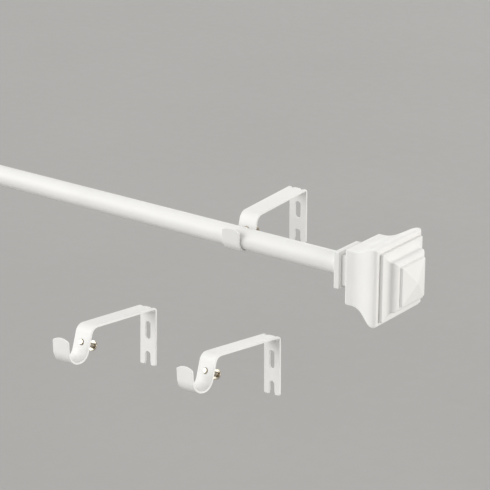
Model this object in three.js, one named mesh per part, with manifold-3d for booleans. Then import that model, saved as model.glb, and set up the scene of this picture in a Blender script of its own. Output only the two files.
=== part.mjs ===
// A telescoping curtain rod with square stepped finials, two fitted hook brackets and two spare ones.
// Frame, in mm: the origin is on the wall side of the right bracket's plate, on the land between the
// plate's slot and its notch. +X runs along the rod to the right finial, +Y into the wall, +Z up.
import * as THREE from "three";
import { mergeVertices } from "three/addons/utils/BufferGeometryUtils.js";
import Module from "manifold-3d";

const wasm = await Module();
wasm.setup();

const degree = Math.PI / 180;
const gap = 0.3; // between pieces that touch
const overrun = 1; // how far a cutter passes the face it cuts

// How many flat sides stand for a full circle.
const rodSides = 48;
const tubeSides = 40;
const plugSides = 32;
const screwSides = 24;
const dentSides = 14;

// Bracket strap: one bent strip of sheet metal.
const strapWidth = 15.9;
const strapThickness = 1.5;
const plateHeight = 43.6;
const wallBendRadius = 2.6; // outside the bend between plate and arm
const armFall = 3.8 * degree; // the arm drops a little away from the wall
const armLength = 55.4;
const shoulderRadius = 7.3; // outside the bend between arm and upright
const uprightLean = 15 * degree; // the upright's foot stands further out than its top
const uprightLength = 12.4;
const cradleRadius = 8.4; // inside the hook the rod lies in
const lipLean = 3.8 * degree;
const lipLength = 10.1;
const lipEndRadius = 15.5;
const lipCornerRadius = 1.4;

// Slot and open notch for the wall screws, below the arm's top.
const slotWidth = 5.1;
const slotTop = 11.3;
const slotLength = 13.2;
const notchDepth = 9.8;
const notchMouth = 6.3;
const notchFlareHeight = 3;
const tineCornerRadius = 1.2;

// Two dents that stiffen the wall bend.
const dentOffset = 0.27 * strapWidth;
const dentRadius = 1.9;
const dentDepth = 1.8;
const dentWall = 1.3; // of the sheet behind a dent
const dentReach = 16; // of the bar that presses a dent, far past the bend
const ribReach = 12; // how far in from the bend the sheet behind a dent is looked for

// Set screw that clamps the rod in the hook.
const screwPlace = 0.55; // part of the upright's length, from its top
const screwTilt = 8 * degree; // past square to the upright, so that its head hangs lower
const screwRadius = 1.9;
const screwTip = 0.8; // past the upright's front face
const screwHeadRadius = 3.9;
const screwHeadHeight = 2.2;
const screwHeadRim = 0.9; // the straight part of the head's side
const screwCrownRadius = 1.6; // of the flat on top of the head
const threadChamfer = 0.5;
const screwHeadBack = 9.4; // from the upright's back face to the underside of the head
const recessWidth = 1;
const recessLength = 4.4;
const recessDepth = 1.2;

// Rod.
const rodRadius = 8;
const tubeWall = 0.6;
const innerTubeRadius = 6.35;
const rodLength = 711; // collapsed, between the two collars
const innerTubeShown = 12; // of the inner tube, between the outer tube and the left collar
const innerTubeHidden = 640; // of the inner tube, inside the outer tube
const mouthCurlLength = 1.5;
const mouthRound = 0.5;
const glideStemLength = 14;
const glideHeadLength = 8;
const glideGrooveWidth = 2;
const glideGrooveDepth = 0.8;
const bracketToCollar = 95; // middle of a fitted bracket to the nearer finial

// Finials, with stations counted from the collar's back face.
const collarHalf = 14;
const collarThickness = 5;
const collarRound = 0.8;
const collarSocketDepth = 3.8; // the tube's end stands this far inside the collar
const neckHalf = 11.5;
const bodyHalf = 20.7;
const rimHalf = 28.9;
const bodyBack = 14;
const bodyBackRound = 1.8;
const flareStart = 5; // from the body's back
const flareEnd = 29; // from the body's back, where the rim is widest
const flareLean = 1.3; // above 1 the flare is fuller near the rim
const rimDrop = 2.1; // how far the rim's front edge is rounded down
const bodyFront = 45.7;
const plateHalf = 25;
const plateThickness = 2.5;
const coveDepth = 3.4;
const land = 0.4; // narrow flats beside the cove
const blockHalf = 18.6;
const blockRound = 3.6;
const ledgeHalf = 14.9;
const stepHalf = 14.3;
const stepHeight = 2;
const capFront = 61.2;
const apexHalf = 0.6;
const edgeRadius = 1;
const cavityHalf = 16;
const cavityFloor = 17;
const spigotDepth = 4;
const spigotWall = 2;
const capWall = 3; // in front of the cap's hollow
const flareSteps = 9;
const roundSteps = 5;
const roundMiddle = 0.3; // a small round's middle point stands this part of its radius in from both faces

// Plug and stud inside each finial.
const plugDepth = 24; // of the plug, inside its tube
const plugChamfer = 1;
const studRadius = 2.5;
const studInPlug = 14;
const studInBody = 19; // station of the stud's far end
const bossRadius = 6;
const bossEnd = 21;

// Spare brackets in front of the rod: where each plate's own origin stands, and its turns about X, Y and Z.
const spares = {
  first_spare: { place: [-23.3, -152.5, -56.7], turn: [-7.4, -5.8, -4.9] },
  second_spare: { place: [61.4, -115.2, -70.3], turn: [-7.5, -7.7, -8] },
};

const matte = (color, roughness) => new THREE.MeshStandardMaterial({ color, roughness, metalness: 0 });
const whiteCoat = matte(0xf0efea, 0.35);
const whiteCasting = matte(0xf1eee6, 0.45);
const plastic = matte(0xd9d9d4, 0.55);
const nickel = new THREE.MeshStandardMaterial({ color: 0xb9b2a4, roughness: 0.3, metalness: 1 });
const zincSteel = new THREE.MeshStandardMaterial({ color: 0xa9adb0, roughness: 0.4, metalness: 1 });

const root = new THREE.Group();

function addNode(parent, name, geometry, material) {
  const mesh = new THREE.Mesh(geometry, material);
  mesh.name = name;
  parent.add(mesh);
}

// ---- Solids ----

function toSolid(geometry) {
  const bare = geometry.clone();
  bare.deleteAttribute("normal");
  bare.deleteAttribute("uv");
  const merged = mergeVertices(bare, 1e-4);
  return new wasm.Manifold(
    new wasm.Mesh({
      numProp: 3,
      vertProperties: merged.attributes.position.array,
      triVerts: new Uint32Array(merged.index.array),
    }),
  );
}

function toGeometry(solid) {
  const mesh = solid.getMesh();
  const geometry = new THREE.BufferGeometry();
  geometry.setAttribute("position", new THREE.BufferAttribute(mesh.vertProperties, 3));
  geometry.setIndex(new THREE.BufferAttribute(mesh.triVerts, 1));
  geometry.computeVertexNormals();
  return geometry;
}

// A solid of revolution about X, from its outline as [place along X, radius] pairs.
function turned(outline, segments) {
  const points = outline.map(([along, radius]) => new THREE.Vector2(radius, along));
  return new THREE.LatheGeometry(points, segments).rotateZ(-90 * degree);
}

function rod(from, to, radius, segments) {
  return turned([[from, 0], [from, radius], [to, radius], [to, 0]], segments);
}

// A shape drawn in X and Z, given depth along Y.
function frontPrism(shape, nearWall, awayFromWall) {
  const depth = nearWall - awayFromWall;
  const geometry = new THREE.ExtrudeGeometry(shape, { depth, bevelEnabled: false, curveSegments: 7 });
  const place = new THREE.Matrix4().makeBasis(
    new THREE.Vector3(1, 0, 0),
    new THREE.Vector3(0, 0, 1),
    new THREE.Vector3(0, -1, 0),
  );
  return geometry.applyMatrix4(place.setPosition(0, nearWall, 0));
}

// A shape drawn out from the wall and up, given the strap's width along X.
function sidePrism(shape, width) {
  const geometry = new THREE.ExtrudeGeometry(shape, { depth: width, bevelEnabled: false });
  const place = new THREE.Matrix4().makeBasis(
    new THREE.Vector3(0, -1, 0),
    new THREE.Vector3(0, 0, 1),
    new THREE.Vector3(-1, 0, 0),
  );
  return geometry.applyMatrix4(place.setPosition(width / 2, 0, 0));
}

// ---- Strap outline ----

// Walks straight legs and bends from the foot of the plate, and keeps the centre of each bend.
function walkCentreline(legs) {
  const points = [];
  const centres = [];
  let out = strapThickness / 2;
  let up = armTopHeight - plateHeight;
  let heading = 90 * degree;
  points.push({ out, up, heading });
  for (const leg of legs) {
    const side = Math.sign(leg.turn);
    const centre = {
      out: out - leg.radius * side * Math.sin(heading),
      up: up + leg.radius * side * Math.cos(heading),
    };
    const start = heading;
    for (let step = 1; step <= leg.steps; step++) {
      heading = start + (leg.turn * step) / leg.steps;
      out = centre.out + leg.radius * side * Math.sin(heading);
      up = centre.up - leg.radius * side * Math.cos(heading);
      points.push({ out, up, heading });
    }
    centres.push(centre);
    out += leg.then * Math.cos(heading);
    up += leg.then * Math.sin(heading);
    points.push({ out, up, heading });
  }
  return { points, centres };
}

// Height of the arm's top at the wall: the origin is in the middle of the land below the slot.
const slotBottom = slotTop + slotLength;
const notchTop = plateHeight - notchDepth;
const armTopHeight = (slotBottom + notchTop) / 2;

const halfThick = strapThickness / 2;
const shoulderTurn = 90 * degree - uprightLean - armFall;
const cradleTurn = 180 * degree - uprightLean - lipLean;
const plateLeg = { radius: 0, turn: 0, steps: 0, then: plateHeight - wallBendRadius };
const armLeg = {
  radius: wallBendRadius - halfThick,
  turn: -(90 * degree + armFall),
  steps: 6,
  then: armLength,
};
const uprightLeg = {
  radius: shoulderRadius - halfThick,
  turn: -shoulderTurn,
  steps: 8,
  then: uprightLength,
};
const lipLeg = { radius: cradleRadius + halfThick, turn: cradleTurn, steps: 18, then: lipLength };

const strapLine = walkCentreline([plateLeg, armLeg, uprightLeg, lipLeg]);
const cradleCentre = strapLine.centres[3];
const lipEnd = strapLine.points.at(-1);
const uprightEnd = strapLine.points.at(-2 - lipLeg.steps);
const rodAxis = {
  out: cradleCentre.out,
  up: cradleCentre.up - (cradleRadius - rodRadius) + gap,
};

function strapOutline() {
  const offset = (point, distance) =>
    new THREE.Vector2(
      point.out - distance * Math.sin(point.heading),
      point.up + distance * Math.cos(point.heading),
    );
  const leftSide = strapLine.points.map((point) => offset(point, halfThick));
  const rightSide = strapLine.points.map((point) => offset(point, -halfThick));
  return new THREE.Shape([...rightSide, ...leftSide.reverse()]);
}

// ---- Strap cutters ----

function slotCutter() {
  const r = slotWidth / 2;
  const top = armTopHeight - slotTop - r;
  const bottom = armTopHeight - slotBottom + r;
  const shape = new THREE.Shape();
  shape.absarc(0, top, r, 0, Math.PI);
  shape.absarc(0, bottom, r, Math.PI, 2 * Math.PI);
  shape.closePath();
  return frontPrism(shape, overrun, -strapThickness - overrun);
}

function notchCutter() {
  const r = slotWidth / 2;
  const foot = armTopHeight - plateHeight;
  const shape = new THREE.Shape();
  shape.absarc(0, foot + notchDepth - r, r, 0, Math.PI);
  shape.lineTo(-r, foot + notchFlareHeight);
  shape.lineTo(-notchMouth / 2, foot);
  shape.lineTo(-notchMouth / 2, foot - overrun);
  shape.lineTo(notchMouth / 2, foot - overrun);
  shape.lineTo(notchMouth / 2, foot);
  shape.lineTo(r, foot + notchFlareHeight);
  shape.closePath();
  return frontPrism(shape, overrun, -strapThickness - overrun);
}

// The waste outside a rounded outer corner of a tine.
function tineCornerCutter(side) {
  const r = tineCornerRadius;
  const foot = armTopHeight - plateHeight;
  const edge = (side * strapWidth) / 2;
  const shape = new THREE.Shape();
  shape.moveTo(edge, foot + r);
  for (let step = 1; step <= 5; step++) {
    const angle = (step / 5) * 90 * degree;
    shape.lineTo(edge - side * r * (1 - Math.cos(angle)), foot + r * (1 - Math.sin(angle)));
  }
  shape.lineTo(edge - side * r, foot - overrun);
  shape.lineTo(edge + side * overrun, foot - overrun);
  shape.lineTo(edge + side * overrun, foot + r);
  shape.closePath();
  return frontPrism(shape, overrun, -strapThickness - overrun);
}

// The waste above the lip's rounded end.
function lipCutter() {
  const half = strapWidth / 2;
  const arcCentre = lipEnd.up - lipEndRadius;
  const reach = lipEndRadius - lipCornerRadius;
  const cornerX = half - lipCornerRadius;
  const cornerZ = arcCentre + Math.sqrt(reach * reach - cornerX * cornerX);
  const leave = Math.atan2(cornerZ - arcCentre, cornerX);
  const shape = new THREE.Shape();
  shape.moveTo(half, cornerZ);
  shape.absarc(cornerX, cornerZ, lipCornerRadius, 0, leave);
  shape.absarc(0, arcCentre, lipEndRadius, leave, Math.PI - leave);
  shape.absarc(-cornerX, cornerZ, lipCornerRadius, Math.PI - leave, Math.PI);
  shape.lineTo(-half - overrun, cornerZ);
  shape.lineTo(-half - overrun, lipEnd.up + overrun);
  shape.lineTo(half + overrun, lipEnd.up + overrun);
  shape.lineTo(half + overrun, cornerZ);
  shape.closePath();
  return frontPrism(shape, -rodAxis.out - overrun, -lipEnd.out - strapThickness - overrun);
}

// A bar across the wall bend at 45 degrees, its near side dentDepth plus extra below the bend.
function bendBar(x, radius, extra) {
  const bendDrop = (Math.SQRT2 - 1) * wallBendRadius;
  const inward = bendDrop + dentDepth + extra - radius;
  const bar = new THREE.CylinderGeometry(radius, radius, dentReach, dentSides);
  const along = inward / Math.SQRT2;
  return bar.rotateX(-45 * degree).translate(x, -along, armTopHeight - along);
}

// The sheet that a dent pushes out on the inner side of the bend.
function dentRib(x) {
  const middle = halfThick + ribReach / 2;
  const inside = new THREE.BoxGeometry(strapWidth, ribReach, ribReach);
  inside.translate(0, -middle, armTopHeight - middle);
  return toSolid(bendBar(x, dentRadius + dentWall, dentWall)).intersect(toSolid(inside));
}

// ---- Set screw ----

// The screw's own axis runs along +X from the middle of the upright towards the rod.
const screwAngle = uprightLean + screwTilt;
const screwCentre = {
  out: uprightEnd.out - uprightLength * (1 - screwPlace) * Math.cos(uprightEnd.heading),
  up: uprightEnd.up - uprightLength * (1 - screwPlace) * Math.sin(uprightEnd.heading),
};

// Turns a piece made along +X so that it points away from the wall and up, and sets it at the upright.
function placeOnScrewAxis(geometry) {
  const place = new THREE.Matrix4().makeBasis(
    new THREE.Vector3(0, -Math.cos(screwAngle), Math.sin(screwAngle)),
    new THREE.Vector3(1, 0, 0),
    new THREE.Vector3(0, Math.sin(screwAngle), Math.cos(screwAngle)),
  );
  return geometry.applyMatrix4(place.setPosition(0, -screwCentre.out, screwCentre.up));
}

function setScrew() {
  const under = -halfThick - screwHeadBack;
  const top = under - screwHeadHeight;
  const tip = halfThick + screwTip;
  const outline = [
    [tip, 0],
    [tip, screwRadius - threadChamfer],
    [tip - threadChamfer, screwRadius],
    [under, screwRadius],
    [under, screwHeadRadius],
  ];
  for (let step = 0; step <= roundSteps; step++) {
    const angle = (step / roundSteps) * 90 * degree;
    const round = screwHeadHeight - screwHeadRim;
    outline.push([
      under - screwHeadRim - round * Math.sin(angle),
      screwCrownRadius + (screwHeadRadius - screwCrownRadius) * Math.cos(angle),
    ]);
  }
  outline.push([top, 0]);
  let screw = toSolid(turned(outline.reverse(), screwSides));
  for (const [wide, tall] of [[recessLength, recessWidth], [recessWidth, recessLength]]) {
    const cut = new THREE.BoxGeometry(2 * recessDepth, wide, tall);
    screw = screw.subtract(toSolid(cut.translate(top, 0, 0)));
  }
  return placeOnScrewAxis(toGeometry(screw));
}

function strap() {
  let solid = toSolid(sidePrism(strapOutline(), strapWidth));
  for (const side of [-1, 1]) solid = solid.add(dentRib(side * dentOffset));
  const screwHole = rod(-2 * strapThickness, 2 * strapThickness, screwRadius + gap, screwSides);
  const cutters = [
    slotCutter(),
    notchCutter(),
    tineCornerCutter(-1),
    tineCornerCutter(1),
    lipCutter(),
    bendBar(-dentOffset, dentRadius, 0),
    bendBar(dentOffset, dentRadius, 0),
    placeOnScrewAxis(screwHole),
  ];
  for (const cutter of cutters) solid = solid.subtract(toSolid(cutter));
  return toGeometry(solid);
}

function addBracket(name) {
  const bracket = new THREE.Group();
  addNode(bracket, name + "_bracket_strap", strap(), whiteCoat);
  addNode(bracket, name + "_bracket_set_screw", setScrew(), nickel);
  root.add(bracket);
  return bracket;
}

// ---- Rod ----

const rightCollarBack = bracketToCollar;
const leftCollarBack = rightCollarBack - rodLength;
const outerTubeRight = rightCollarBack + collarSocketDepth - gap;
const outerTubeLeft = leftCollarBack + innerTubeShown;
const innerTubeLeft = leftCollarBack - collarSocketDepth + gap;
const innerTubeRight = outerTubeLeft + innerTubeHidden;
const outerBore = rodRadius - tubeWall;
const innerBore = innerTubeRadius - tubeWall;

function onRodAxis(geometry) {
  return geometry.translate(0, -rodAxis.out, rodAxis.up);
}

// The outer tube's left mouth is curled in so that it guides the inner tube.
function outerTube() {
  const curl = innerTubeRadius + gap;
  return turned(
    [
      [outerTubeLeft, curl],
      [outerTubeLeft, rodRadius - mouthRound],
      [outerTubeLeft + mouthRound, rodRadius],
      [outerTubeRight, rodRadius],
      [outerTubeRight, outerBore],
      [outerTubeLeft + mouthCurlLength, outerBore],
      [outerTubeLeft + mouthCurlLength, curl],
      [outerTubeLeft, curl],
    ],
    rodSides,
  );
}

function innerTube() {
  return turned(
    [
      [innerTubeLeft, innerBore],
      [innerTubeLeft, innerTubeRadius],
      [innerTubeRight, innerTubeRadius],
      [innerTubeRight, innerBore],
      [innerTubeLeft, innerBore],
    ],
    tubeSides,
  );
}

// A plug in the inner tube's end, with a grooved head that runs in the outer tube.
function glidePlug() {
  const face = innerTubeRight + gap;
  const stem = innerBore - gap;
  const head = outerBore - gap;
  const waist = head - glideGrooveDepth;
  const groove = face + (glideHeadLength - glideGrooveWidth) / 2;
  return turned(
    [
      [face - glideStemLength, 0],
      [face - glideStemLength, stem],
      [face, stem],
      [face, head],
      [groove, head],
      [groove, waist],
      [groove + glideGrooveWidth, waist],
      [groove + glideGrooveWidth, head],
      [face + glideHeadLength, head],
      [face + glideHeadLength, 0],
    ],
    plugSides,
  );
}

// ---- Finials ----

// A closed body of square sections with rounded corners, from [station, half width] pairs.
function squareLoft(stations) {
  const ring = ([station, half]) => {
    const radius = Math.min(edgeRadius, half / 2);
    const points = [];
    for (const [sideY, sideZ] of [[1, 1], [-1, 1], [-1, -1], [1, -1]]) {
      const start = Math.atan2(sideZ, sideY) - 45 * degree;
      for (let step = 0; step <= 2; step++) {
        const angle = start + step * 45 * degree;
        points.push([
          station,
          sideY * (half - radius) + radius * Math.cos(angle),
          sideZ * (half - radius) + radius * Math.sin(angle),
        ]);
      }
    }
    return points;
  };
  const rings = stations.map(ring);
  const count = rings[0].length;
  const firstEnd = [stations[0][0], 0, 0];
  const lastEnd = [stations.at(-1)[0], 0, 0];
  const triangles = [];
  for (let i = 0; i < count; i++) {
    const next = (i + 1) % count;
    triangles.push(firstEnd, rings[0][next], rings[0][i]);
    triangles.push(lastEnd, rings.at(-1)[i], rings.at(-1)[next]);
    for (let k = 0; k + 1 < rings.length; k++) {
      const [a, b] = [rings[k][i], rings[k][next]];
      const [c, d] = [rings[k + 1][next], rings[k + 1][i]];
      triangles.push(a, b, c, a, c, d);
    }
  }
  const geometry = new THREE.BufferGeometry();
  geometry.setAttribute("position", new THREE.Float32BufferAttribute(triangles.flat(), 3));
  return mergeVertices(geometry, 1e-4);
}

function collar(tubeRadius) {
  const inner = roundMiddle * collarRound;
  const plate = squareLoft([
    [0, collarHalf - collarRound],
    [inner, collarHalf - inner],
    [collarRound, collarHalf],
    [collarThickness - collarRound, collarHalf],
    [collarThickness - inner, collarHalf - inner],
    [collarThickness, collarHalf - collarRound],
  ]);
  const socket = rod(-overrun, collarSocketDepth, tubeRadius + gap, tubeSides);
  const studHole = rod(0, collarThickness + overrun, studRadius + gap, screwSides);
  return toGeometry(toSolid(plate).subtract(toSolid(socket)).subtract(toSolid(studHole)));
}

// The half widths of the body's S-shaped flare and of its rounded rim, as [station, half width] pairs.
function flareAndRim() {
  const stations = [];
  for (let step = 0; step <= flareSteps; step++) {
    const part = (step / flareSteps) ** flareLean;
    const rise = part * part * (3 - 2 * part);
    const along = flareStart + ((flareEnd - flareStart) * step) / flareSteps;
    stations.push([bodyBack + along, bodyHalf + rise * (rimHalf - bodyHalf)]);
  }
  const roundBack = bodyBack + flareEnd;
  for (let step = 1; step <= roundSteps; step++) {
    const angle = (step / roundSteps) * 90 * degree;
    const along = roundBack + (bodyFront - roundBack) * Math.sin(angle);
    stations.push([along, rimHalf - rimDrop * (1 - Math.cos(angle))]);
  }
  return stations;
}

// Square neck, square body, flare and rim; the front is hollow and has a boss for the stud.
function finialBody() {
  const neckBack = collarThickness + gap;
  const inner = roundMiddle * bodyBackRound;
  const outside = squareLoft([
    [neckBack, neckHalf - land],
    [neckBack + land, neckHalf],
    [bodyBack, neckHalf],
    [bodyBack, bodyHalf - bodyBackRound],
    [bodyBack + inner, bodyHalf - inner],
    [bodyBack + bodyBackRound, bodyHalf],
    ...flareAndRim(),
  ]);
  const cavity = squareLoft([[cavityFloor, cavityHalf], [bodyFront + overrun, cavityHalf]]);
  const boss = rod(bodyBack + overrun, bossEnd, bossRadius, plugSides);
  const studHole = rod(0, bossEnd + overrun, studRadius + gap, screwSides);
  const shell = toSolid(outside).subtract(toSolid(cavity)).add(toSolid(boss));
  return toGeometry(shell.subtract(toSolid(studHole)));
}

// A quarter of an ellipse from one station and half width to another, hollow or full.
function quarter(from, to, isHollow) {
  const stations = [];
  for (let step = 0; step <= roundSteps; step++) {
    const angle = (step / roundSteps) * 90 * degree;
    const along = isHollow ? 1 - Math.cos(angle) : Math.sin(angle);
    const down = isHollow ? Math.sin(angle) : 1 - Math.cos(angle);
    stations.push([from[0] + (to[0] - from[0]) * along, from[1] + (to[1] - from[1]) * down]);
  }
  return stations;
}

// Plate, cove, rounded block, small step and low pyramid, with a spigot that locates it in the body.
function finialCap() {
  const back = bodyFront + gap;
  const coveStart = back + plateThickness;
  const roundStart = coveStart + coveDepth + land;
  const ledge = roundStart + blockRound;
  const outside = squareLoft([
    [back, plateHalf - land],
    [back + land, plateHalf],
    [coveStart - land, plateHalf],
    ...quarter([coveStart, plateHalf - land], [coveStart + coveDepth, blockHalf], true),
    ...quarter([roundStart, blockHalf], [ledge, ledgeHalf], false),
    [ledge, stepHalf],
    [ledge + stepHeight - land, stepHalf],
    [ledge + stepHeight, stepHalf - land],
    [capFront, apexHalf],
  ]);
  const spigotHalf = cavityHalf - gap;
  const hollowHalf = spigotHalf - spigotWall;
  const spigot = squareLoft([[back - spigotDepth, spigotHalf], [back + overrun, spigotHalf]]);
  const hollow = squareLoft([
    [back - spigotDepth - overrun, hollowHalf],
    [ledge - capWall, hollowHalf - spigotDepth],
  ]);
  return toGeometry(toSolid(outside).add(toSolid(spigot)).subtract(toSolid(hollow)));
}

function endPlug(bore) {
  const radius = bore - gap;
  const face = collarSocketDepth - gap;
  const plug = turned(
    [
      [-plugDepth, 0],
      [-plugDepth, radius - plugChamfer],
      [-plugDepth + plugChamfer, radius],
      [face, radius],
      [face, 0],
    ],
    plugSides,
  );
  const studHole = rod(-studInPlug - gap, face + overrun, studRadius + gap, screwSides);
  return toGeometry(toSolid(plug).subtract(toSolid(studHole)));
}

function stud() {
  return turned(
    [
      [-studInPlug, 0],
      [-studInPlug, studRadius - threadChamfer],
      [-studInPlug + threadChamfer, studRadius],
      [studInBody - threadChamfer, studRadius],
      [studInBody, studRadius - threadChamfer],
      [studInBody, 0],
    ],
    screwSides,
  );
}

// One finial with its collar's back face at the given place, pointing to the side given.
function addFinial(name, collarBack, side, tubeRadius) {
  const finial = new THREE.Group();
  addNode(finial, name + "_finial_collar", collar(tubeRadius), whiteCasting);
  addNode(finial, name + "_finial_body", finialBody(), whiteCasting);
  addNode(finial, name + "_finial_stepped_cap", finialCap(), whiteCasting);
  addNode(finial, name + "_finial_end_plug", endPlug(tubeRadius - tubeWall), plastic);
  addNode(finial, name + "_finial_stud", stud(), zincSteel);
  finial.rotation.z = side > 0 ? 0 : Math.PI;
  finial.position.set(collarBack, -rodAxis.out, rodAxis.up);
  root.add(finial);
}

// ---- Assembly ----

addBracket("right");
addBracket("left").position.x = leftCollarBack + bracketToCollar;

for (const [name, { place, turn }] of Object.entries(spares)) {
  const spare = addBracket(name);
  spare.rotation.set(...turn.map((angle) => angle * degree), "ZYX");
  spare.position.set(...place);
}

addNode(root, "rod_outer_tube", onRodAxis(outerTube()), whiteCoat);
addNode(root, "rod_inner_tube", onRodAxis(innerTube()), whiteCoat);
addNode(root, "inner_tube_glide_plug", onRodAxis(glidePlug()), plastic);

addFinial("right", rightCollarBack, 1, rodRadius);
addFinial("left", leftCollarBack, -1, innerTubeRadius);

export default root;
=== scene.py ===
"""Looks of a telescoping curtain rod with square finials, hook brackets and spare brackets.

It makes a detailed mesh for every CAD node, then the materials, the floor, the light and the camera.
"""
import math

import bmesh
import bpy
from mathutils import Euler, Matrix, Vector
from mathutils.geometry import delaunay_2d_cdt


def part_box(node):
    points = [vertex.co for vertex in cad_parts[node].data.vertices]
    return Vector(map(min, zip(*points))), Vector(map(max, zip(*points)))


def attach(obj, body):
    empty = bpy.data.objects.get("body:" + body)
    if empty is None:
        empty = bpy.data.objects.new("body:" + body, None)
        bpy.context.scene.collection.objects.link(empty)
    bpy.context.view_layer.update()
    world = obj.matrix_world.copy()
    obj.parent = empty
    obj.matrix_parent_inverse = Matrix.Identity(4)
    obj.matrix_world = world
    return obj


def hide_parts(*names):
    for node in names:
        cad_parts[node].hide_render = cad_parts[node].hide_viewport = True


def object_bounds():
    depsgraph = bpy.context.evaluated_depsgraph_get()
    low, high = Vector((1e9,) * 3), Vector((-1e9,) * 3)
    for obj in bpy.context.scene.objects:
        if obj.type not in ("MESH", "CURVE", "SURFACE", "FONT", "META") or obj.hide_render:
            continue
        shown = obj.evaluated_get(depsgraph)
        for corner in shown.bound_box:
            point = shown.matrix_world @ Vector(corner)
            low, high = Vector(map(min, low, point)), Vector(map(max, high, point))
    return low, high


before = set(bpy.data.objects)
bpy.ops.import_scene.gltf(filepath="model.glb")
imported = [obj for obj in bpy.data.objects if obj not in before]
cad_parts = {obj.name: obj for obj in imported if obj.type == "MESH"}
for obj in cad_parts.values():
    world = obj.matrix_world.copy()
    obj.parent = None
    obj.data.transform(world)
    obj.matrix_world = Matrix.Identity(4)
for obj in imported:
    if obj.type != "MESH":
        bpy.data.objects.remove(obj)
cad_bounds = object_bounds()

MM = 0.001

# ---- Sizes in mm, the same as the CAD part's ----

STRAP_WIDTH = 15.9
STRAP_THICKNESS = 1.5
PLATE_HEIGHT = 43.6
ARM_TOP = 29.15
WALL_BEND_RADIUS = 2.6
ARM_FALL = math.radians(3.8)
ARM_LENGTH = 55.4
SHOULDER_RADIUS = 7.3
UPRIGHT_LEAN = math.radians(15)
UPRIGHT_LENGTH = 12.4
CRADLE_RADIUS = 8.4
LIP_LEAN = math.radians(3.8)
LIP_LENGTH = 10.1
LIP_END_RADIUS = 15.5
LIP_CORNER_RADIUS = 1.4

SLOT_WIDTH = 5.1
SLOT_TOP = 11.3
SLOT_LENGTH = 13.2
NOTCH_DEPTH = 9.8
NOTCH_MOUTH = 6.3
NOTCH_FLARE_HEIGHT = 3
TINE_CORNER_RADIUS = 1.2

DENT_OFFSET = 0.27 * STRAP_WIDTH
DENT_RADIUS = 1.9
DENT_DEPTH = 1.8
DENT_WALL = 1.3  # of the sheet behind a dent
DENT_BLEND = 0.02  # how softly a dent's edge runs out
DENT_REACH = 9  # the bend's dents end within this length of the strap

SCREW_PLACE = 0.55
SCREW_TILT = math.radians(8)
SCREW_RADIUS = 1.9
SCREW_HOLE_RADIUS = 2.2
SCREW_TIP = 0.8
SCREW_HEAD_RADIUS = 3.9
SCREW_HEAD_HEIGHT = 2.2
SCREW_HEAD_BACK = 9.4
SCREW_PITCH = 0.7
SCREW_CROWN_RADIUS = 1.7  # of the flat on top of the head
SCREW_SHOULDER = (1.7, 3.35)  # height above the head's underside, and radius
SCREW_HEAD_RIM = 0.6  # the straight part of the head's side
RECESS_DEPTH = 1.35
RECESS_LENGTH = (5.2, 2.4)  # of the cross, at its mouth and at its floor
RECESS_WIDTH = (1.15, 0.7)

TUBE_WALL = 0.6
MOUTH_CURL_LENGTH = 1.5
GLIDE_HEAD_LENGTH = 8
GLIDE_GROOVE_WIDTH = 2
GLIDE_GROOVE_DEPTH = 0.8
SEAM_INSIDE = 3  # where a tube's outline is closed, inside its bore

COLLAR_HALF = 14
COLLAR_THICKNESS = 5
COLLAR_SOCKET_DEPTH = 3.8
NECK_HALF = 11.5
BODY_HALF = 20.7
RIM_HALF = 28.9
RIM_DROP = 2.1
BODY_BACK = 14
BODY_FRONT = 45.7
FLARE_START = 5
FLARE_END = 29
FLARE_LEAN = 1.3
PLATE_HALF = 25
CAP_PLATE_THICKNESS = 2.5
COVE_DEPTH = 3.4
LAND = 0.4
BLOCK_HALF = 18.6
BLOCK_ROUND = 3.6
LEDGE_HALF = 14.9
STEP_HALF = 14.3
STEP_HEIGHT = 2
CAP_FRONT = 61.2
APEX_HALF = 0.6
CAVITY_HALF = 16
CAVITY_FLOOR = 17
SPIGOT_DEPTH = 4
STUD_RADIUS = 2.5
STUD_IN_PLUG = 14
STUD_IN_BODY = 19
STUD_PITCH = 0.8
PLUG_DEPTH = 24
PLUG_RIBS = 8
PLUG_RIB_HEIGHT = 0.06  # part of the plug's radius
GAP = 0.3
SEAM = 0.06  # between the finial's seated faces

EDGE_ROUND = 0.35  # of the coated sheet's edges

# Where each bracket's plate stands, and its turns about X, Y and Z.
BRACKET_PLACES = {
    "right": ((0, 0, 0), (0, 0, 0)),
    "left": ((-521, 0, 0), (0, 0, 0)),
    "first_spare": ((-23.3, -152.5, -56.7), (-7.4, -5.8, -4.9)),
    "second_spare": ((61.4, -115.2, -70.3), (-7.5, -7.7, -8)),
}


# ---- Mesh helpers ----


def new_object(name, vertices, faces):
    """A mesh object from vertices in mm."""
    mesh = bpy.data.meshes.new(name)
    mesh.from_pydata([Vector(v) * MM for v in vertices], [], faces)
    mesh.validate()
    mesh.update()
    obj = bpy.data.objects.new(name, mesh)
    bpy.context.scene.collection.objects.link(obj)
    return obj


def shade(obj, angle=35):
    """Smooth shading that breaks at edges sharper than the angle."""
    obj.data.shade_smooth()
    obj.data.set_sharp_from_angle(angle=math.radians(angle))
    weighted = obj.modifiers.new("weighted", "WEIGHTED_NORMAL")
    weighted.keep_sharp = True


def cut(obj, cutters):
    """Subtracts the cutters from the object's mesh and removes them."""
    for cutter in cutters:
        modifier = obj.modifiers.new("cut", "BOOLEAN")
        modifier.operation = "DIFFERENCE"
        modifier.solver = "EXACT"
        modifier.object = cutter
    bpy.context.view_layer.update()
    depsgraph = bpy.context.evaluated_depsgraph_get()
    mesh = bpy.data.meshes.new_from_object(obj.evaluated_get(depsgraph))
    obj.modifiers.clear()
    obj.data = mesh
    for cutter in cutters:
        bpy.data.objects.remove(cutter)


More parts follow.
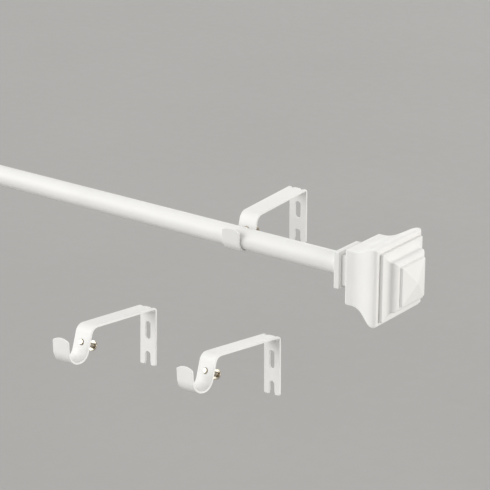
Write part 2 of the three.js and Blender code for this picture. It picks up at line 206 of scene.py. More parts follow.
def fillet(outline, radii, steps=5):
    """Rounds the corners of an open outline, each with its own radius."""
    rounded = [Vector(outline[0])]
    corners = zip(outline, outline[1:], outline[2:], radii[1:-1])
    for before, corner, after, radius in corners:
        corner = Vector(corner)
        to_before = (Vector(before) - corner).normalized()
        to_after = (Vector(after) - corner).normalized()
        half_angle = to_before.angle(to_after) / 2
        if radius == 0 or half_angle > math.radians(88):
            rounded.append(corner)
            continue
        reach = radius / math.tan(half_angle)
        bisector = (to_before + to_after).normalized()
        centre = corner + bisector * (radius / math.sin(half_angle))
        start = corner + to_before * reach - centre
        sweep = math.pi - 2 * half_angle
        turn = start.x * to_after.y - start.y * to_after.x
        sign = 1 if turn > 0 else -1
        for step in range(steps + 1):
            angle = sign * sweep * step / steps
            cosine, sine = math.cos(angle), math.sin(angle)
            spun = Vector((start.x * cosine - start.y * sine, start.x * sine + start.y * cosine))
            rounded.append(centre + spun)
    rounded.append(Vector(outline[-1]))
    return rounded


def skin_rings(name, rings, close_ends):
    """A surface through rings with equal counts of points, with its ends closed by fans where asked."""
    count = len(rings[0])
    vertices = [point for ring in rings for point in ring]
    faces = []
    for k in range(len(rings) - 1):
        for i in range(count):
            j = (i + 1) % count
            faces.append((k * count + i, k * count + j, (k + 1) * count + j, (k + 1) * count + i))
    if close_ends:
        last = (len(rings) - 1) * count
        faces.append(tuple(reversed(range(count))))
        faces.append(tuple(range(last, last + count)))
    return new_object(name, vertices, faces)


def face_out(obj, merge=1e-7):
    """Joins vertices closer than the merge distance and turns every face outwards."""
    work = bmesh.new()
    work.from_mesh(obj.data)
    bmesh.ops.remove_doubles(work, verts=work.verts, dist=merge)
    bmesh.ops.recalc_face_normals(work, faces=work.faces)
    work.to_mesh(obj.data)
    work.free()


def turned(name, outline, segments=96):
    """A solid of revolution about X from [along, radius] points; a closed outline makes a ring."""
    rings = []
    for along, radius in outline:
        ring = []
        for i in range(segments):
            angle = 2 * math.pi * i / segments
            ring.append((along, radius * math.cos(angle), radius * math.sin(angle)))
        rings.append(ring)
    is_ring = Vector(outline[0]) == Vector(outline[-1])
    obj = skin_rings(name, rings, close_ends=not is_ring)
    face_out(obj)
    return obj


def square_loft(name, profile, corner_radius=1.0, corner_steps=6):
    """A solid of square sections with rounded corners about X, from [along, half width] points."""
    rings = []
    for along, half in profile:
        radius = min(corner_radius, half / 2)
        ring = []
        for quarter, (side_y, side_z) in enumerate([(1, 1), (-1, 1), (-1, -1), (1, -1)]):
            for step in range(corner_steps + 1):
                angle = (quarter + step / corner_steps) * math.pi / 2
                y = side_y * (half - radius) + radius * math.cos(angle)
                z = side_z * (half - radius) + radius * math.sin(angle)
                ring.append((along, y, z))
        rings.append(ring)
    obj = skin_rings(name, rings, close_ends=True)
    face_out(obj)
    return obj


def threaded(name, start, end, crest, root, pitch, segments=32, per_turn=10, crest_flat=1.25):
    """A threaded shank about X whose ridges are one helix, with plain tapered ends."""
    rings = []
    count = round((end - start) / pitch * per_turn)
    for k in range(count + 1):
        along = start + (end - start) * k / count
        ends = min(1, (along - start) / pitch, (end - along) / pitch)
        ring = []
        for i in range(segments):
            angle = 2 * math.pi * i / segments
            phase = ((along - start) / pitch - i / segments) % 1
            height = min(1, crest_flat * (1 - abs(2 * phase - 1)))
            radius = root + (crest - root) * height * ends
            ring.append((along, radius * math.cos(angle), radius * math.sin(angle)))
        rings.append(ring)
    obj = skin_rings(name, rings, close_ends=True)
    face_out(obj)
    return obj


def join(obj, others):
    """Adds the other objects' meshes to the first object's mesh."""
    work = bmesh.new()
    for part in [obj, *others]:
        work.from_mesh(part.data)
    work.to_mesh(obj.data)
    work.free()
    for part in others:
        bpy.data.objects.remove(part)


# ---- Strap: a flat blank, bent along its centreline ----

HALF_THICK = STRAP_THICKNESS / 2


def centreline():
    """The strap's legs from the foot of the plate, and its whole length."""
    bends = [
        (0, 0, PLATE_HEIGHT - WALL_BEND_RADIUS),
        (WALL_BEND_RADIUS - HALF_THICK, -(math.pi / 2 + ARM_FALL), ARM_LENGTH),
        (SHOULDER_RADIUS - HALF_THICK, -(math.pi / 2 - UPRIGHT_LEAN - ARM_FALL), UPRIGHT_LENGTH),
        (CRADLE_RADIUS + HALF_THICK, math.pi - UPRIGHT_LEAN - LIP_LEAN, LIP_LENGTH),
    ]
    legs = []
    done = 0.0
    point = Vector((HALF_THICK, ARM_TOP - PLATE_HEIGHT))
    heading = math.pi / 2
    for radius, turn, straight in bends:
        if turn:
            side = math.copysign(1, turn)
            normal = Vector((-math.sin(heading), math.cos(heading)))
            centre = point + normal * radius * side
            length = radius * abs(turn)
            legs.append({
                "at": done, "length": length, "point": point, "heading": heading,
                "centre": centre, "radius": radius, "side": side,
            })
            done += length
            heading += turn
            normal = Vector((-math.sin(heading), math.cos(heading)))
            point = centre - normal * radius * side
        legs.append({
            "at": done, "length": straight, "point": point, "heading": heading, "side": 0,
        })
        done += straight
        point = point + Vector((math.cos(heading), math.sin(heading))) * straight
    return legs, done


LEGS, STRAP_LENGTH = centreline()
BENDS = [leg for leg in LEGS if leg["side"]]
UPRIGHT = LEGS[4]


def along_strap(length):
    """The centreline's point (out, up) and its outer normal at a length from the foot."""
    for leg in LEGS:
        if length <= leg["at"] + leg["length"]:
            break
    past = length - leg["at"]
    if leg["side"]:
        heading = leg["heading"] + leg["side"] * past / leg["radius"]
        normal = Vector((-math.sin(heading), math.cos(heading)))
        return leg["centre"] - normal * leg["radius"] * leg["side"], normal
    heading = leg["heading"]
    normal = Vector((-math.sin(heading), math.cos(heading)))
    return leg["point"] + Vector((math.cos(heading), math.sin(heading))) * past, normal


def dented(point, x, outside):
    """Moves a point of the wall bend inwards where one of the two dents is."""
    inward = Vector((1, -1)).normalized()
    corner = Vector((0, ARM_TOP))
    reach = (point - corner).dot(inward)
    bend_drop = (math.sqrt(2) - 1) * WALL_BEND_RADIUS
    middle = bend_drop + DENT_DEPTH - DENT_RADIUS
    radius = DENT_RADIUS if outside else DENT_RADIUS + DENT_WALL
    shift = 0
    for side in (-1, 1):
        across = abs(x - side * DENT_OFFSET)
        if across < radius:
            depth = middle + math.sqrt(radius * radius - across * across) - reach
            soft_depth = (depth + math.sqrt(depth * depth + DENT_BLEND)) / 2
            shift = max(shift, soft_depth - DENT_BLEND)
    return point + inward * shift


def bent(x, length, depth):
    """Where a point of the flat blank goes: x across, length along, depth from the middle outwards."""
    point, normal = along_strap(length)
    place = point + normal * depth
    if abs(length - (PLATE_HEIGHT - WALL_BEND_RADIUS)) < DENT_REACH:
        place = dented(place, x, depth > 0)
    return (x, -place.x, place.y)


def arc(centre_x, centre_s, radius, start, end, step=8):
    """Points on an arc, with angles in degrees from +x."""
    count = max(2, round(abs(end - start) / step))
    points = []
    for i in range(count + 1):
        angle = math.radians(start + (end - start) * i / count)
        points.append((centre_x + radius * math.cos(angle), centre_s + radius * math.sin(angle)))
    return points


def blank_outline():
    """The blank's outer edge, anticlockwise: notch, right side, rounded lip end, left side."""
    half = STRAP_WIDTH / 2
    slot = SLOT_WIDTH / 2
    mouth = NOTCH_MOUTH / 2
    tine = TINE_CORNER_RADIUS
    reach = LIP_END_RADIUS - LIP_CORNER_RADIUS
    end_centre = STRAP_LENGTH - LIP_END_RADIUS
    corner_x = half - LIP_CORNER_RADIUS
    corner_s = end_centre + math.sqrt(reach * reach - corner_x * corner_x)
    leave = math.degrees(math.atan2(corner_s - end_centre, corner_x))
    points = arc(0, NOTCH_DEPTH - slot, slot, 180, 0)
    points += [(slot, NOTCH_FLARE_HEIGHT)]
    points += arc(mouth + 0.4, 0.4, 0.4, 180, 270, 30)
    points += arc(half - tine, tine, tine, -90, 0, 15)
    points += arc(corner_x, corner_s, LIP_CORNER_RADIUS, 0, leave, 10)
    points += arc(0, end_centre, LIP_END_RADIUS, leave, 180 - leave, 4)[1:-1]
    points += arc(-corner_x, corner_s, LIP_CORNER_RADIUS, 180 - leave, 180, 10)
    points += arc(tine - half, tine, tine, 180, 270, 15)
    points += arc(-mouth - 0.4, 0.4, 0.4, -90, 0, 30)
    points += [(-slot, NOTCH_FLARE_HEIGHT)]
    return points


def hole_outlines():
    """The slot's and the screw hole's edges, clockwise."""
    slot = SLOT_WIDTH / 2
    top = PLATE_HEIGHT - SLOT_TOP - slot
    bottom = PLATE_HEIGHT - SLOT_TOP - SLOT_LENGTH + slot
    screw_at = UPRIGHT["at"] + UPRIGHT_LENGTH * SCREW_PLACE
    slot_edge = arc(0, bottom, slot, 0, -180) + arc(0, top, slot, 180, 0)
    screw_edge = arc(0, screw_at, SCREW_HOLE_RADIUS, 360, 0, 12)[:-1]
    return [slot_edge, screw_edge]


def spaced(loop, spacing):
    """The loop with extra points on its long straight edges."""
    points = []
    for i, start in enumerate(loop):
        start = Vector(start)
        end = Vector(loop[(i + 1) % len(loop)])
        count = max(1, math.ceil((end - start).length / spacing))
        points += [start.lerp(end, k / count) for k in range(count)]
    return points


def inset(loop, distance):
    """The loop moved into the material, which lies on its left."""
    points = []
    for i, point in enumerate(loop):
        before = (point - loop[i - 1]).normalized()
        after = (loop[(i + 1) % len(loop)] - point).normalized()
        along = (before + after).normalized()
        stretch = 1 / max(0.5, along.dot(after))
        points.append(point + Vector((-along.y, along.x)) * distance * stretch)
    return points


def bend_grid():
    """Extra points of the blank where it bends, and closer ones where it is dented."""
    points = []
    edge = STRAP_WIDTH / 2 - 1
    for bend in BENDS:
        fine = bend is BENDS[0]
        margin = 4.2 if fine else 1.2
        step = 0.34 if fine else 0.9
        rows = round((bend["length"] + 2 * margin) / step)
        columns = round(2 * edge / (step if fine else 1.3))
        for row in range(rows + 1):
            at = bend["at"] - margin + row * (bend["length"] + 2 * margin) / rows
            points += [Vector((-edge + 2 * edge * k / columns, at)) for k in range(columns + 1)]
    return points


def edge_profile(steps=4):
    """How the sheet's edge is rounded, as (distance into the material, depth) from front to back."""
    half = []
    for step in range(steps + 1):
        angle = math.pi / 2 * step / steps
        into = EDGE_ROUND * (1 - math.sin(angle))
        half.append((into, HALF_THICK - EDGE_ROUND * (1 - math.cos(angle))))
    return half + [(into, -depth) for into, depth in reversed(half)]


def strap(name):
    """One bracket strap in the right bracket's place."""
    loops = [spaced(loop, 0.9) for loop in [blank_outline(), *hole_outlines()]]
    profile = edge_profile()
    inner = [inset(loop, EDGE_ROUND) for loop in loops]
    border = [point for loop in inner for point in loop]
    edges = []
    start = 0
    for loop in inner:
        edges += [(start + i, start + (i + 1) % len(loop)) for i in range(len(loop))]
        start += len(loop)
    flat, _, triangles, _, _, _ = delaunay_2d_cdt(border + bend_grid(), edges, [], 2, 1e-4)
    middles = [sum((flat[i] for i in triangle), Vector((0, 0))) / 3 for triangle in triangles]
    triangles = [t for t, middle in zip(triangles, middles) if is_material(middle, inner)]
    vertices = []
    faces = []
    for depth in (HALF_THICK, -HALF_THICK):
        base = len(vertices)
        vertices += [bent(p.x, p.y, depth) for p in flat]
        for triangle in triangles:
            corners = [base + i for i in triangle]
            faces.append(corners if depth > 0 else corners[::-1])
    for loop in loops:
        base = len(vertices)
        for into, depth in profile:
            vertices += [bent(p.x, p.y, depth) for p in inset(loop, into)]
        for k in range(len(profile) - 1):
            for i in range(len(loop)):
                j = (i + 1) % len(loop)
                low, high = base + k * len(loop), base + (k + 1) * len(loop)
                faces.append((low + i, high + i, high + j, low + j))
    obj = new_object(name, vertices, faces)
    face_out(obj, merge=2e-6)
    shade(obj, 60)
    return obj


def is_material(point, loops):
    """Whether a point of the blank is inside its outer edge and outside its holes."""
    inside = False
    for loop in loops:
        for i, a in enumerate(loop):
            b = loop[i - 1]
            if (a.y > point.y) != (b.y > point.y):
                if point.x < a.x + (point.y - a.y) * (b.x - a.x) / (b.y - a.y):
                    inside = not inside
    return inside


# ---- Set screw ----


def on_screw_axis():
    """Where the screw goes: made along +X from the upright's middle towards the rod."""
    point, _ = along_strap(UPRIGHT["at"] + UPRIGHT_LENGTH * SCREW_PLACE)
    rise = UPRIGHT_LEAN + SCREW_TILT
    axis = Vector((0, -math.cos(rise), math.sin(rise)))
    side = Vector((1, 0, 0))
    turn = Matrix((axis, side, axis.cross(side))).transposed().to_4x4()
    return Matrix.Translation(Vector((0, -point.x, point.y)) * MM) @ turn


def recess_blade(top, angle):
    """One blade of the cross recess: a cutter that narrows from the head's top to the recess's floor."""
    blade = bmesh.new()
    bmesh.ops.create_cube(blade, size=1)
    for vertex in blade.verts:
        deep = vertex.co.x > 0
        vertex.co.x = (top + RECESS_DEPTH if deep else top - 1) * MM
        vertex.co.y *= RECESS_LENGTH[deep] * MM
        vertex.co.z *= RECESS_WIDTH[deep] * MM
    mesh = bpy.data.meshes.new("blade")
    blade.to_mesh(mesh)
    blade.free()
    mesh.transform(Matrix.Rotation(math.radians(angle), 4, "X"))
    cutter = bpy.data.objects.new("blade", mesh)
    bpy.context.scene.collection.objects.link(cutter)
    return cutter


def set_screw(name):
    """A pan head screw with a cross recess, in the right bracket's place."""
    under = -HALF_THICK - SCREW_HEAD_BACK
    top = under - SCREW_HEAD_HEIGHT
    tip = HALF_THICK + SCREW_TIP
    shoulder_height, shoulder_radius = SCREW_SHOULDER
    core = 1.2
    outline = [
        (top, 0.02), (top, SCREW_CROWN_RADIUS), (under - shoulder_height, shoulder_radius),
        (under - SCREW_HEAD_RIM, SCREW_HEAD_RADIUS), (under, SCREW_HEAD_RADIUS),
        (under, core), (under + 0.4, core), (under + 0.4, 0.02),
    ]
    head = turned(name, fillet(outline, [0, 2.5, 1.2, 0.6, 0.3, 0.1, 0, 0], 6), 64)
    cut(head, [recess_blade(top, angle) for angle in (0, 90)])
    shank = threaded(name + "_shank", under - 0.2, tip, SCREW_RADIUS, SCREW_RADIUS - 0.35, SCREW_PITCH)
    join(head, [shank])
    head.data.transform(on_screw_axis())
    shade(head, 40)
    return head


# ---- Rod ----


def rod_span(node):
    """The node's ends along X and the rod's axis, in mm."""
    low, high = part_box(node)
    axis = (low + high) / 2 / MM
    return low.x / MM, high.x / MM, Vector((0, axis.y, axis.z)) * MM


def outer_tube(name):
    left, right, axis = rod_span("rod_outer_tube")
    low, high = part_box("rod_outer_tube")
    radius = (high.z - low.z) / 2 / MM
    inner_low, inner_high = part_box("rod_inner_tube")
    curl = (inner_high.z - inner_low.z) / 2 / MM + GAP
    bore = radius - TUBE_WALL
    seam = (left + SEAM_INSIDE, bore)
    corners = [
        seam, (left + MOUTH_CURL_LENGTH, bore), (left + MOUTH_CURL_LENGTH, curl),
        (left, curl), (left, radius), (right, radius), (right, bore), seam,
    ]
    outline = fillet(corners, [0, 0.1, 0.2, 0.25, 0.7, 0.2, 0.2, 0], 6)
    obj = turned(name, outline)
    obj.data.transform(Matrix.Translation(axis))
    shade(obj)
    return obj


def inner_tube(name):
    left, right, axis = rod_span("rod_inner_tube")
    low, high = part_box("rod_inner_tube")
    radius = (high.z - low.z) / 2 / MM
    bore = radius - TUBE_WALL
    seam = (left + SEAM_INSIDE, bore)
    corners = [seam, (left, bore), (left, radius), (right, radius), (right, bore), seam]
    obj = turned(name, fillet(corners, [0, 0.15, 0.25, 0.25, 0.15, 0], 5))
    obj.data.transform(Matrix.Translation(axis))
    shade(obj)
    return obj


def glide_plug(name):
    left, right, axis = rod_span("inner_tube_glide_plug")
    low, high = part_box("inner_tube_glide_plug")
    inner_low, inner_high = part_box("rod_inner_tube")
    head = (high.z - low.z) / 2 / MM
    stem = (inner_high.z - inner_low.z) / 2 / MM - TUBE_WALL - GAP
    face = right - GLIDE_HEAD_LENGTH
    groove = face + (GLIDE_HEAD_LENGTH - GLIDE_GROOVE_WIDTH) / 2
    waist = head - GLIDE_GROOVE_DEPTH
    corners = [
        (left, 0.02), (left, stem), (face, stem), (face, head), (groove, head), (groove, waist),
        (groove + GLIDE_GROOVE_WIDTH, waist), (groove + GLIDE_GROOVE_WIDTH, head), (right, head),
        (right, 0.02),
    ]
    obj = turned(name, fillet(corners, [0, 0.8, 0.1, 0.4, 0.4, 0.2, 0.2, 0.4, 0.8, 0], 4), 64)
    obj.data.transform(Matrix.Translation(axis))
    shade(obj)
    return obj


# ---- Finials, made with the collar's back face at x = 0 and pointing to +X ----


def cylinder_cutter(start, end, radius):
    return turned("cutter", [(start, 0.001), (start, radius), (end, radius), (end, 0.001)], 64)


def finial_collar(name, tube_radius):
    front = COLLAR_THICKNESS
    corners = [(0, 0.05), (0, COLLAR_HALF), (front, COLLAR_HALF), (front, 0.05)]
    obj = square_loft(name, fillet(corners, [0, 0.9, 0.9, 0], 6))
    cut(obj, [
        cylinder_cutter(-1, COLLAR_SOCKET_DEPTH, tube_radius + GAP),
        cylinder_cutter(0, COLLAR_THICKNESS + 1, STUD_RADIUS + GAP),
    ])
    shade(obj)
    return obj


def flare(count=28):
    """The body's S-shaped flare, as [along, half width] points."""
    points = []
    for i in range(count + 1):
        part = (i / count) ** FLARE_LEAN
        rise = part * part * (3 - 2 * part)
        along = FLARE_START + (FLARE_END - FLARE_START) * i / count
        points.append((BODY_BACK + along, BODY_HALF + rise * (RIM_HALF - BODY_HALF)))
    return points


def quarter(start, end, is_hollow, count=13):
    """A quarter of an ellipse between two [along, half width] points."""
    points = []
    for i in range(count + 1):
        angle = math.pi / 2 * i / count
        along = 1 - math.cos(angle) if is_hollow else math.sin(angle)
        down = math.sin(angle) if is_hollow else 1 - math.cos(angle)
        station = start[0] + (end[0] - start[0]) * along
        points.append((station, start[1] + (end[1] - start[1]) * down))
    return points


def finial_body(name):
    neck_back = COLLAR_THICKNESS + SEAM
    back = [(neck_back, 0.05), (neck_back, NECK_HALF), (BODY_BACK, NECK_HALF), (BODY_BACK, BODY_HALF)]
    rim = quarter((BODY_BACK + FLARE_END, RIM_HALF), (BODY_FRONT, RIM_HALF - RIM_DROP), False)
    curve = flare() + rim[1:]
    hollow = [(BODY_FRONT, CAVITY_HALF), (CAVITY_FLOOR, CAVITY_HALF), (CAVITY_FLOOR, 0.05)]
    radii = [0, 0.5, 0.6, 1.8] + [0] * len(curve) + [0.3, 0.5, 0]
    obj = square_loft(name, fillet(back + curve + hollow, radii, 7))
    cut(obj, [cylinder_cutter(-1, CAVITY_FLOOR + 2, STUD_RADIUS + GAP)])
    shade(obj)
    return obj


def finial_cap(name):
    back = BODY_FRONT + GAP
    cove_start = back + CAP_PLATE_THICKNESS
    round_start = cove_start + COVE_DEPTH + LAND
    ledge = round_start + BLOCK_ROUND
    seat = BODY_FRONT + SEAM
    spigot_back, spigot = back - SPIGOT_DEPTH, CAVITY_HALF - GAP
    plate = [
        (spigot_back, 0.05), (spigot_back, spigot), (seat, spigot),
        (seat, PLATE_HALF), (cove_start, PLATE_HALF),
    ]
    curve = quarter((cove_start, PLATE_HALF - LAND), (cove_start + COVE_DEPTH, BLOCK_HALF), True)
    curve += quarter((round_start, BLOCK_HALF), (ledge, LEDGE_HALF), False)
    top = [(ledge, STEP_HALF), (ledge + STEP_HEIGHT, STEP_HALF), (CAP_FRONT, APEX_HALF)]
    radii = [0, 0.5, 0.2, 0.5, 0.35] + [0] * len(curve) + [0.25, 0.35, 0]
    obj = square_loft(name, fillet(plate + curve + top, radii, 5), corner_radius=0.8)
    shade(obj, 28)
    return obj


def end_plug(name, tube_radius):
    """A plug with a smooth collar at its face and lengthwise ribs that grip the tube."""
    radius = tube_radius - TUBE_WALL - GAP
    face = COLLAR_SOCKET_DEPTH - GAP
    segments = 96
    rings = []
    for along, scale, ribbed in [
        (-PLUG_DEPTH, 0.84, 0), (-PLUG_DEPTH + 0.4, 0.9, 0), (-PLUG_DEPTH + 1.4, 0.94, 1),
        (-2, 0.94, 1), (-1.4, 1, 0), (face - 0.3, 1, 0), (face, 0.97, 0),
    ]:
        ring = []
        for i in range(segments):
            angle = 2 * math.pi * i / segments
            rib = ribbed * PLUG_RIB_HEIGHT * max(0, math.cos(PLUG_RIBS * angle)) ** 0.5
            reach = radius * (scale + rib)
            ring.append((along, reach * math.cos(angle), reach * math.sin(angle)))
        rings.append(ring)
    obj = skin_rings(name, rings, close_ends=True)
    face_out(obj)
    cut(obj, [cylinder_cutter(-STUD_IN_PLUG - GAP, face + 1, STUD_RADIUS + GAP)])
    shade(obj)
    return obj


def stud(name):
    obj = threaded(name, -STUD_IN_PLUG, STUD_IN_BODY, STUD_RADIUS, STUD_RADIUS - 0.4, STUD_PITCH)
    shade(obj, 50)
    return obj


# ---- Materials ----


class Nodes:
    """Short calls for a material's node tree."""

    def __init__(self, name):
        self.material = bpy.data.materials.new(name)
        self.material.use_nodes = True
        self.tree = self.material.node_tree
        self.shader = self.tree.nodes["Principled BSDF"]
        self.place = self.add("ShaderNodeTexCoord").outputs["Object"]

    def add(self, kind, **values):
        node = self.tree.nodes.new(kind)
        for key, value in values.items():
            if hasattr(node, key):
                setattr(node, key, value)
            else:
                node.inputs[key].default_value = value
        return node

    def link(self, output, target):
        self.tree.links.new(output, target)

    def noise(self, scale, detail=3, roughness=0.5, stretch=(1, 1, 1)):
        mapping = self.add("ShaderNodeMapping", Scale=stretch)
        noise = self.add("ShaderNodeTexNoise", Scale=scale, Detail=detail, Roughness=roughness)
        self.link(self.place, mapping.inputs["Vector"])
        self.link(mapping.outputs["Vector"], noise.inputs["Vector"])
        return noise.outputs["Fac"]

    def spread(self, output, low, high):
        """Maps a noise's middle range to low..high."""
        node = self.add("ShaderNodeMapRange")
        node.inputs["From Min"].default_value = 0.3
        node.inputs["From Max"].default_value = 0.7
        node.inputs["To Min"].default_value = low
        node.inputs["To Max"].default_value = high
        self.link(output, node.inputs["Value"])
        return node.outputs["Result"]

    def blend(self, factor, first, second):
        """Blends two colours; the mix node has sockets of the same names for other data types."""
        node = self.add("ShaderNodeMix", data_type="RGBA")
        for socket in node.inputs:
            if socket.type == "RGBA" and socket.name == "A":
                socket.default_value = (*first, 1)
            if socket.type == "RGBA" and socket.name == "B":
                socket.default_value = (*second, 1)
        self.link(factor, node.inputs["Factor"])
        return next(s for s in node.outputs if s.type == "RGBA")

    def bump(self, height, distance, strength=1.0, below=None):
        node = self.add("ShaderNodeBump", Strength=strength, Distance=distance)
        self.link(height, node.inputs["Height"])
        if below:
            self.link(below, node.inputs["Normal"])
        return node.outputs["Normal"]

    def set(self, **values):
        for key, value in values.items():
            self.shader.inputs[key.replace("_", " ")].default_value = value


def white_coat(name, bright, shaded, low, high, peel, peel_scale):
    """White paint: a fine orange peel, uneven gloss and a faint drift of tone."""
    nodes = Nodes(name)
    drift = nodes.spread(nodes.noise(28, 4), 0, 1)
    nodes.link(nodes.blend(drift, bright, shaded), nodes.shader.inputs["Base Color"])
    gloss = nodes.spread(nodes.noise(160, 5, 0.6), low, high)
    nodes.link(gloss, nodes.shader.inputs["Roughness"])
    waves = nodes.bump(nodes.noise(peel_scale, 2), peel)
    grain = nodes.bump(nodes.noise(5200, 2), peel * 0.12, below=waves)
    nodes.link(grain, nodes.shader.inputs["Normal"])
    nodes.set(IOR=1.46, Specular_IOR_Level=0.28, Coat_Weight=0.03, Coat_Roughness=0.3)
    return nodes.material


def plated(name, bright, dull, low, high, line_scale):
    """Plated steel with fine tool marks and cloudy tarnish."""
    nodes = Nodes(name)
    cloud = nodes.spread(nodes.noise(420, 5, 0.65), 0, 1)
    nodes.link(nodes.blend(cloud, bright, dull), nodes.shader.inputs["Base Color"])
    nodes.link(nodes.spread(nodes.noise(900, 4), low, high), nodes.shader.inputs["Roughness"])
    lines = nodes.noise(line_scale, 3, 0.6, (1, 8, 8))
    nodes.link(nodes.bump(lines, 0.000012), nodes.shader.inputs["Normal"])
    nodes.set(Metallic=1.0)
    return nodes.material


def moulded(name, bright, dull):
    """Natural plastic with a fine spark-eroded texture and soft light inside it."""
    nodes = Nodes(name)
    tone = nodes.spread(nodes.noise(90, 4), 0, 1)
    nodes.link(nodes.blend(tone, bright, dull), nodes.shader.inputs["Base Color"])
    nodes.link(nodes.spread(nodes.noise(700, 3), 0.42, 0.6), nodes.shader.inputs["Roughness"])
    nodes.link(nodes.bump(nodes.noise(3600, 2), 0.00002), nodes.shader.inputs["Normal"])
    nodes.set(Subsurface_Weight=0.15, Subsurface_Scale=0.002)
    return nodes.material


def floor_paper(name):
    nodes = Nodes(name)
    tone = nodes.spread(nodes.noise(3, 3), 0, 1)
    color = nodes.blend(tone, (0.40, 0.395, 0.385), (0.385, 0.38, 0.37))
    nodes.link(color, nodes.shader.inputs["Base Color"])
    nodes.link(nodes.spread(nodes.noise(60, 3), 0.75, 0.9), nodes.shader.inputs["Roughness"])
    nodes.link(nodes.bump(nodes.noise(900, 3), 0.00004), nodes.shader.inputs["Normal"])
    return nodes.material


WHITE = (0.83, 0.825, 0.805)
WORN_WHITE = (0.80, 0.795, 0.775)
COATED_STEEL = white_coat("coated_steel", WHITE, WORN_WHITE, 0.38, 0.5, 0.00003, 700)
WHITE_MOULDING = white_coat("white_moulding", WHITE, WORN_WHITE, 0.4, 0.52, 0.00002, 480)
NICKEL = plated("nickel", (0.62, 0.57, 0.48), (0.47, 0.42, 0.34), 0.2, 0.34, 900)
ZINC = plated("zinc", (0.66, 0.68, 0.70), (0.50, 0.52, 0.54), 0.28, 0.42, 1200)
PLUG_PLASTIC = moulded("plug_plastic", (0.68, 0.68, 0.66), (0.61, 0.61, 0.59))


# ---- Assembly ----


def dress(obj, node, body, material):
    """The piece stands for one CAD node, rides on its body and takes its finish."""
    obj.data.materials.clear()
    obj.data.materials.append(material)
    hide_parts(node)
    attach(obj, body)


def add_bracket(name, strap_body, screw_body):
    place, turns = BRACKET_PLACES[name]
    turn = Euler([math.radians(angle) for angle in turns], "XYZ").to_matrix().to_4x4()
    stand = Matrix.Translation(Vector(place) * MM) @ turn
    metal = strap("coated_" + name + "_strap")
    metal.data.transform(stand)
    dress(metal, name + "_bracket_strap", strap_body, COATED_STEEL)
    screw = set_screw("plated_" + name + "_screw")
    screw.data.transform(stand)
    dress(screw, name + "_bracket_set_screw", screw_body, NICKEL)


def add_finial(side, tube_node):
    low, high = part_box(tube_node)
    tube_radius = (high.z - low.z) / 2 / MM
    collar_low, collar_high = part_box(side + "_finial_collar")
    middle = (collar_low + collar_high) / 2
    if side == "right":
        place = Matrix.Translation((collar_low.x, middle.y, middle.z))
    else:
        place = Matrix.Translation((collar_high.x, middle.y, middle.z))
        place = place @ Matrix.Rotation(math.pi, 4, "Z")
    pieces = [
        (finial_collar("moulded_" + side + "_collar", tube_radius), "_finial_collar", "_finial"),
        (finial_body("moulded_" + side + "_body"), "_finial_body", "_finial"),
        (finial_cap("moulded_" + side + "_cap"), "_finial_stepped_cap", "_finial"),
        (end_plug("ribbed_" + side + "_plug", tube_radius), "_finial_end_plug", "_plug"),
        (stud("threaded_" + side + "_stud"), "_finial_stud", "_plug"),
    ]
    finishes = {
        "_finial_end_plug": (PLUG_PLASTIC, "plug_plastic"),
        "_finial_stud": (ZINC, "zinc_steel"),
    }
    for obj, node, body in pieces:
        obj.data.transform(place)
        material, slot = finishes.get(node, (WHITE_MOULDING, "white_casting"))
        dress(obj, side + node, side + body, material)


add_bracket("right", "wall_brackets", "right_screw")
add_bracket("left", "wall_brackets", "left_screw")
add_bracket("first_spare", "first_spare", "first_spare_screw")
add_bracket("second_spare", "second_spare", "second_spare_screw")

for tube, node, body in (
    (outer_tube("coated_outer_tube"), "rod_outer_tube", "outer_tube"),
    (inner_tube("coated_inner_tube"), "rod_inner_tube", "inner_tube"),
):
    dress(tube, node, body, COATED_STEEL)
glide = glide_plug("grooved_glide_plug")
dress(glide, "inner_tube_glide_plug", "inner_tube", PLUG_PLASTIC)
add_finial("right", "rod_outer_tube")
add_finial("left", "rod_inner_tube")


# ---- Floor, light and camera ----

CAMERA_AZIMUTH = 37.41
CAMERA_ELEVATION = 20.06
CAMERA_PLACE = (0.7712, -1.0760, 0.4641)
CAMERA_LENS = 133.3
CAMERA_SHIFT = (-0.001, 0.002)
FLOOR_DROP = 0.16  # below the object, in metres as all sizes in this section
FLOOR_REACH = 6
PANEL_DISTANCE = 8
PANEL_TARGET = Vector((-0.25, -0.1, 0))


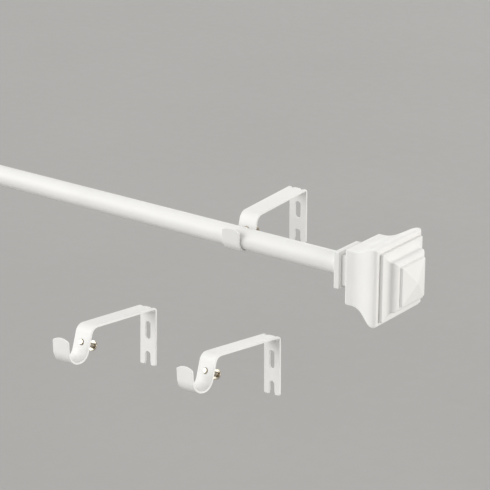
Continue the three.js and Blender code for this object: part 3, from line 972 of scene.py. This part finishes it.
def add_floor():
    middle_x = (cad_bounds[0][0] + cad_bounds[1][0]) / 2
    height = cad_bounds[0][2] - FLOOR_DROP
    reach = FLOOR_REACH / MM
    corners = [(x, y, 0) for x in (-reach, reach) for y in (-reach, reach)]
    floor = new_object("floor", corners, [(0, 2, 3, 1)])
    floor.location = (middle_x, 0, height)
    floor.data.materials.append(floor_paper("floor_paper"))


def add_panel(name, direction, size, power, color):
    """A soft panel light that faces the object from a direction."""
    light = bpy.data.lights.new(name, "AREA")
    light.shape = "RECTANGLE"
    light.size, light.size_y = size
    light.energy = power
    light.color = color
    aim = Vector(direction).normalized()
    obj = bpy.data.objects.new(name, light)
    obj.location = PANEL_TARGET + aim * PANEL_DISTANCE
    obj.rotation_euler = aim.to_track_quat("Z", "Y").to_euler()
    bpy.context.scene.collection.objects.link(obj)


def add_light():
    world = bpy.data.worlds.new("studio")
    world.use_nodes = True
    background = world.node_tree.nodes["Background"]
    background.inputs["Color"].default_value = (1.0, 0.992, 0.98, 1)
    background.inputs["Strength"].default_value = 0.56
    bpy.context.scene.world = world
    add_panel("left_panel", (-0.72, -0.62, 0.34), (7.5, 5.9), 535, (0.985, 0.99, 1))
    add_panel("right_panel", (0.95, 0.1, 0.16), (6.4, 6.4), 500, (1, 0.985, 0.965))
    add_panel("top_panel", (0.1, 0.1, 1), (8, 8), 60, (1, 1, 1))
    add_panel("back_panel", (-0.25, 0.95, 0.15), (6.4, 4.8), 180, (1, 0.99, 0.98))


def add_camera():
    camera = bpy.data.cameras.new("camera")
    camera.lens = CAMERA_LENS
    camera.sensor_width = 36
    camera.shift_x, camera.shift_y = CAMERA_SHIFT
    camera.clip_start = 0.05
    camera.clip_end = 50
    obj = bpy.data.objects.new("camera", camera)
    obj.location = CAMERA_PLACE
    obj.rotation_euler = (math.radians(90 - CAMERA_ELEVATION), 0, math.radians(CAMERA_AZIMUTH))
    bpy.context.scene.collection.objects.link(obj)
    bpy.context.scene.camera = obj


add_floor()
add_light()
add_camera()
bpy.context.scene.view_settings.view_transform = "Standard"
